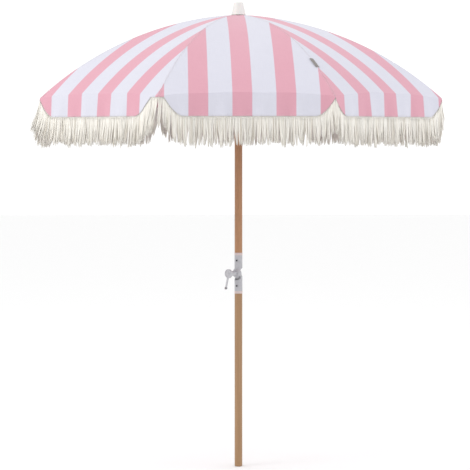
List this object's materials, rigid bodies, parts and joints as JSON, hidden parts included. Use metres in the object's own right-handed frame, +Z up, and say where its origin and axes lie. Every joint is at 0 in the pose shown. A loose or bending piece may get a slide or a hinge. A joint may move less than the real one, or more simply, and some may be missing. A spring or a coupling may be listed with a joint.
{
  "type": "parasol",
  "caption": "Fringed garden parasol with a striped cloth cover on folding ribs, a sliding runner and a wooden pole with a lever-clamped tilt joint.",
  "frame": {"origin": "centre of the pole foot", "axes": "+Z up along the pole; one cover panel faces -Y; the clamp lever is on the -X -Y side"},
  "size_m": [1.8824, 1.8824, 2.2688],
  "materials": {
    "wood_lower": "clear varnish",
    "wood_upper": "clear varnish, redder stain",
    "bracket_paint": "semi-gloss light grey enamel",
    "collar_plastic": "matt",
    "steel": "zinc plated",
    "dark_steel": "black oxide",
    "friction_rubber": "matt, toothed",
    "knob_paint": "semi-gloss light grey enamel",
    "tip_plastic": "matt",
    "white_plastic": "satin",
    "canopy_cloth": "plain-weave cotton, wide pink and white stripes",
    "valance_cloth": "same striped cloth, hanging in shade",
    "fringe_cotton": "off-white cotton tape and strands",
    "label_cloth": "plain woven grey-brown label"
  },
  "bodies": {
    "lower_section": {"lower_pole": "wood_lower", "lower_bracket": "bracket_paint", "lower_collar": "collar_plastic", "lower_screws": "dark_steel", "tilt_bolt": "steel", "friction_disc": "friction_rubber"},
    "clamp": {"clamp_lever": "knob_paint", "lever_tip": "tip_plastic"},
    "upper_section": {"upper_bracket": "bracket_paint", "upper_collar": "collar_plastic", "upper_screws": "dark_steel", "upper_pole": "wood_upper", "spring_catch": "steel", "crown_hub": "white_plastic", "crown_pins": "steel", "top_cap": "white_plastic"},
    "runner": {"runner": "white_plastic"},
    "rib_1": {"rib_1": "steel", "canopy_1": "canopy_cloth", "seam_label": "label_cloth"},
    "stretcher_1": {"stretcher_1": "steel"},
    "valance_1": {"valance_1": "valance_cloth", "fringe_1": "fringe_cotton"},
    "rib_2": {"rib_2": "steel", "canopy_2": "canopy_cloth"},
    "stretcher_2": {"stretcher_2": "steel"},
    "valance_2": {"valance_2": "valance_cloth", "fringe_2": "fringe_cotton"},
    "rib_3": {"rib_3": "steel", "canopy_3": "canopy_cloth"},
    "stretcher_3": {"stretcher_3": "steel"},
    "valance_3": {"valance_3": "valance_cloth", "fringe_3": "fringe_cotton"},
    "rib_4": {"rib_4": "steel", "canopy_4": "canopy_cloth"},
    "stretcher_4": {"stretcher_4": "steel"},
    "valance_4": {"valance_4": "valance_cloth", "fringe_4": "fringe_cotton"},
    "rib_5": {"rib_5": "steel", "canopy_5": "canopy_cloth"},
    "stretcher_5": {"stretcher_5": "steel"},
    "valance_5": {"valance_5": "valance_cloth", "fringe_5": "fringe_cotton"},
    "rib_6": {"rib_6": "steel", "canopy_6": "canopy_cloth"},
    "stretcher_6": {"stretcher_6": "steel"},
    "valance_6": {"valance_6": "valance_cloth", "fringe_6": "fringe_cotton"},
    "rib_7": {"rib_7": "steel", "canopy_7": "canopy_cloth"},
    "stretcher_7": {"stretcher_7": "steel"},
    "valance_7": {"valance_7": "valance_cloth", "fringe_7": "fringe_cotton"},
    "rib_8": {"rib_8": "steel", "canopy_8": "canopy_cloth"},
    "stretcher_8": {"stretcher_8": "steel"},
    "valance_8": {"valance_8": "valance_cloth", "fringe_8": "fringe_cotton"}
  },
  "joints": [
    {"name": "tilt", "type": "hinge", "parent": "lower_section", "child": "upper_section", "pos_m": [0, 0, 0.951], "axis": [-0.7071, -0.7071, 0], "range_deg": [-60, 60]},
    {"name": "clamp_turn", "type": "hinge", "parent": "lower_section", "child": "clamp", "pos_m": [0, 0, 0.951], "axis": [-0.7071, -0.7071, 0], "range_deg": [0, 270]},
    {"name": "runner_slide", "type": "slide", "parent": "upper_section", "child": "runner", "axis": [0, 0, -1], "range_m": [0, 0.4946], "deforming": ["spring_catch"]},
    {"name": "rib_1_hinge", "type": "hinge", "parent": "upper_section", "child": "rib_1", "pos_m": [0.01033, -0.02494, 2.1985], "axis": [0.9239, 0.3827, 0], "range_deg": [0, 64.5], "deforming": ["canopy_1"]},
    {"name": "stretcher_1_hinge", "type": "hinge", "parent": "rib_1", "child": "stretcher_1", "pos_m": [0.16343, -0.39456, 2.11112], "axis": [0.9239, 0.3827, 0], "range_deg": [-106.19, 0]},
    {"name": "valance_1_seam", "type": "hinge", "parent": "rib_1", "child": "valance_1", "pos_m": [0.35972, -0.86845, 1.752], "axis": [0.9239, 0.3827, 0], "range_deg": [-64.5, 0], "deforming": ["valance_1", "fringe_1"]},
    {"name": "rib_2_hinge", "type": "hinge", "parent": "upper_section", "child": "rib_2", "pos_m": [0.02494, -0.01033, 2.1985], "axis": [0.3827, 0.9239, 0], "range_deg": [0, 64.5], "deforming": ["canopy_2"]},
    {"name": "stretcher_2_hinge", "type": "hinge", "parent": "rib_2", "child": "stretcher_2", "pos_m": [0.39456, -0.16343, 2.11112], "axis": [0.3827, 0.9239, 0], "range_deg": [-106.19, 0]},
    {"name": "valance_2_seam", "type": "hinge", "parent": "rib_2", "child": "valance_2", "pos_m": [0.86845, -0.35972, 1.752], "axis": [0.3827, 0.9239, 0], "range_deg": [-64.5, 0], "deforming": ["valance_2", "fringe_2"]},
    {"name": "rib_3_hinge", "type": "hinge", "parent": "upper_section", "child": "rib_3", "pos_m": [0.02494, 0.01033, 2.1985], "axis": [-0.3827, 0.9239, 0], "range_deg": [0, 64.5], "deforming": ["canopy_3"]},
    {"name": "stretcher_3_hinge", "type": "hinge", "parent": "rib_3", "child": "stretcher_3", "pos_m": [0.39456, 0.16343, 2.11112], "axis": [-0.3827, 0.9239, 0], "range_deg": [-106.19, 0]},
    {"name": "valance_3_seam", "type": "hinge", "parent": "rib_3", "child": "valance_3", "pos_m": [0.86845, 0.35972, 1.752], "axis": [-0.3827, 0.9239, 0], "range_deg": [-64.5, 0], "deforming": ["valance_3", "fringe_3"]},
    {"name": "rib_4_hinge", "type": "hinge", "parent": "upper_section", "child": "rib_4", "pos_m": [0.01033, 0.02494, 2.1985], "axis": [-0.9239, 0.3827, 0], "range_deg": [0, 64.5], "deforming": ["canopy_4"]},
    {"name": "stretcher_4_hinge", "type": "hinge", "parent": "rib_4", "child": "stretcher_4", "pos_m": [0.16343, 0.39456, 2.11112], "axis": [-0.9239, 0.3827, 0], "range_deg": [-106.19, 0]},
    {"name": "valance_4_seam", "type": "hinge", "parent": "rib_4", "child": "valance_4", "pos_m": [0.35972, 0.86845, 1.752], "axis": [-0.9239, 0.3827, 0], "range_deg": [-64.5, 0], "deforming": ["valance_4", "fringe_4"]},
    {"name": "rib_5_hinge", "type": "hinge", "parent": "upper_section", "child": "rib_5", "pos_m": [-0.01033, 0.02494, 2.1985], "axis": [-0.9239, -0.3827, 0], "range_deg": [0, 64.5], "deforming": ["canopy_5"]},
    {"name": "stretcher_5_hinge", "type": "hinge", "parent": "rib_5", "child": "stretcher_5", "pos_m": [-0.16343, 0.39456, 2.11112], "axis": [-0.9239, -0.3827, 0], "range_deg": [-106.19, 0]},
    {"name": "valance_5_seam", "type": "hinge", "parent": "rib_5", "child": "valance_5", "pos_m": [-0.35972, 0.86845, 1.752], "axis": [-0.9239, -0.3827, 0], "range_deg": [-64.5, 0], "deforming": ["valance_5", "fringe_5"]},
    {"name": "rib_6_hinge", "type": "hinge", "parent": "upper_section", "child": "rib_6", "pos_m": [-0.02494, 0.01033, 2.1985], "axis": [-0.3827, -0.9239, 0], "range_deg": [0, 64.5], "deforming": ["canopy_6"]},
    {"name": "stretcher_6_hinge", "type": "hinge", "parent": "rib_6", "child": "stretcher_6", "pos_m": [-0.39456, 0.16343, 2.11112], "axis": [-0.3827, -0.9239, 0], "range_deg": [-106.19, 0]},
    {"name": "valance_6_seam", "type": "hinge", "parent": "rib_6", "child": "valance_6", "pos_m": [-0.86845, 0.35972, 1.752], "axis": [-0.3827, -0.9239, 0], "range_deg": [-64.5, 0], "deforming": ["valance_6", "fringe_6"]},
    {"name": "rib_7_hinge", "type": "hinge", "parent": "upper_section", "child": "rib_7", "pos_m": [-0.02494, -0.01033, 2.1985], "axis": [0.3827, -0.9239, 0], "range_deg": [0, 64.5], "deforming": ["canopy_7"]},
    {"name": "stretcher_7_hinge", "type": "hinge", "parent": "rib_7", "child": "stretcher_7", "pos_m": [-0.39456, -0.16343, 2.11112], "axis": [0.3827, -0.9239, 0], "range_deg": [-106.19, 0]},
    {"name": "valance_7_seam", "type": "hinge", "parent": "rib_7", "child": "valance_7", "pos_m": [-0.86845, -0.35972, 1.752], "axis": [0.3827, -0.9239, 0], "range_deg": [-64.5, 0], "deforming": ["valance_7", "fringe_7"]},
    {"name": "rib_8_hinge", "type": "hinge", "parent": "upper_section", "child": "rib_8", "pos_m": [-0.01033, -0.02494, 2.1985], "axis": [0.9239, -0.3827, 0], "range_deg": [0, 64.5], "deforming": ["canopy_8"]},
    {"name": "stretcher_8_hinge", "type": "hinge", "parent": "rib_8", "child": "stretcher_8", "pos_m": [-0.16343, -0.39456, 2.11112], "axis": [0.9239, -0.3827, 0], "range_deg": [-106.19, 0]},
    {"name": "valance_8_seam", "type": "hinge", "parent": "rib_8", "child": "valance_8", "pos_m": [-0.35972, -0.86845, 1.752], "axis": [0.9239, -0.3827, 0], "range_deg": [-64.5, 0], "deforming": ["valance_8", "fringe_8"]}
  ],
  "couplings": [
    {"joint": "rib_1_hinge", "follows": "runner_slide", "rad_per_m": 2.2761},
    {"joint": "stretcher_1_hinge", "follows": "runner_slide", "rad_per_m": -3.7471},
    {"joint": "valance_1_seam", "follows": "runner_slide", "rad_per_m": -2.2761},
    {"joint": "rib_2_hinge", "follows": "runner_slide", "rad_per_m": 2.2761},
    {"joint": "stretcher_2_hinge", "follows": "runner_slide", "rad_per_m": -3.7471},
    {"joint": "valance_2_seam", "follows": "runner_slide", "rad_per_m": -2.2761},
    {"joint": "rib_3_hinge", "follows": "runner_slide", "rad_per_m": 2.2761},
    {"joint": "stretcher_3_hinge", "follows": "runner_slide", "rad_per_m": -3.7471},
    {"joint": "valance_3_seam", "follows": "runner_slide", "rad_per_m": -2.2761},
    {"joint": "rib_4_hinge", "follows": "runner_slide", "rad_per_m": 2.2761},
    {"joint": "stretcher_4_hinge", "follows": "runner_slide", "rad_per_m": -3.7471},
    {"joint": "valance_4_seam", "follows": "runner_slide", "rad_per_m": -2.2761},
    {"joint": "rib_5_hinge", "follows": "runner_slide", "rad_per_m": 2.2761},
    {"joint": "stretcher_5_hinge", "follows": "runner_slide", "rad_per_m": -3.7471},
    {"joint": "valance_5_seam", "follows": "runner_slide", "rad_per_m": -2.2761},
    {"joint": "rib_6_hinge", "follows": "runner_slide", "rad_per_m": 2.2761},
    {"joint": "stretcher_6_hinge", "follows": "runner_slide", "rad_per_m": -3.7471},
    {"joint": "valance_6_seam", "follows": "runner_slide", "rad_per_m": -2.2761},
    {"joint": "rib_7_hinge", "follows": "runner_slide", "rad_per_m": 2.2761},
    {"joint": "stretcher_7_hinge", "follows": "runner_slide", "rad_per_m": -3.7471},
    {"joint": "valance_7_seam", "follows": "runner_slide", "rad_per_m": -2.2761},
    {"joint": "rib_8_hinge", "follows": "runner_slide", "rad_per_m": 2.2761},
    {"joint": "stretcher_8_hinge", "follows": "runner_slide", "rad_per_m": -3.7471},
    {"joint": "valance_8_seam", "follows": "runner_slide", "rad_per_m": -2.2761}
  ]
}
